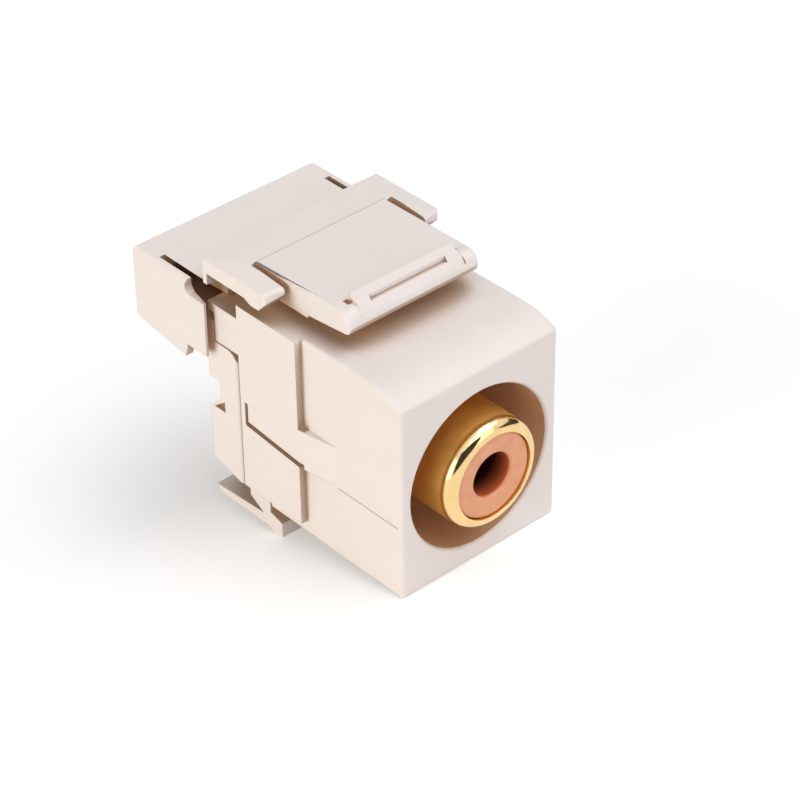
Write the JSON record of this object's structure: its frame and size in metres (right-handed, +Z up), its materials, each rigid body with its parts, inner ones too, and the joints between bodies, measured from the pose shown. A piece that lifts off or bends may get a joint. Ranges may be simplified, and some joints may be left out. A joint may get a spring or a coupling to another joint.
{
  "type": "rca keystone connector",
  "caption": "Keystone insert with a round phono jack in a recessed square front, a flexible latch on top and a rear block with wire slots under a hood.",
  "frame": {"origin": "on the jack's axis, at the housing's front face", "axes": "-Y out of the front along the jack, +Z up towards the latch, +X to the right seen from the front"},
  "size_m": [0.017, 0.0283, 0.0225],
  "materials": {
    "almond_moulding": "satin moulded",
    "gold_plate": "polished gold plate",
    "orange_insulator": "satin moulded",
    "plated_steel": "bright nickel plate",
    "board_laminate": "solder mask",
    "tinned_contact": "tin plate"
  },
  "bodies": {
    "root": {"front_housing": "almond_moulding", "latch_cap": "almond_moulding", "terminal_block": "almond_moulding", "jack_shell": "gold_plate", "jack_insulator": "orange_insulator", "centre_contact": "gold_plate", "ground_lug": "plated_steel", "lock_washer": "plated_steel", "hex_nut": "plated_steel", "circuit_board": "board_laminate", "idc_contact_signal": "tinned_contact", "idc_contact_ground": "tinned_contact"}
  },
  "joints": []
}
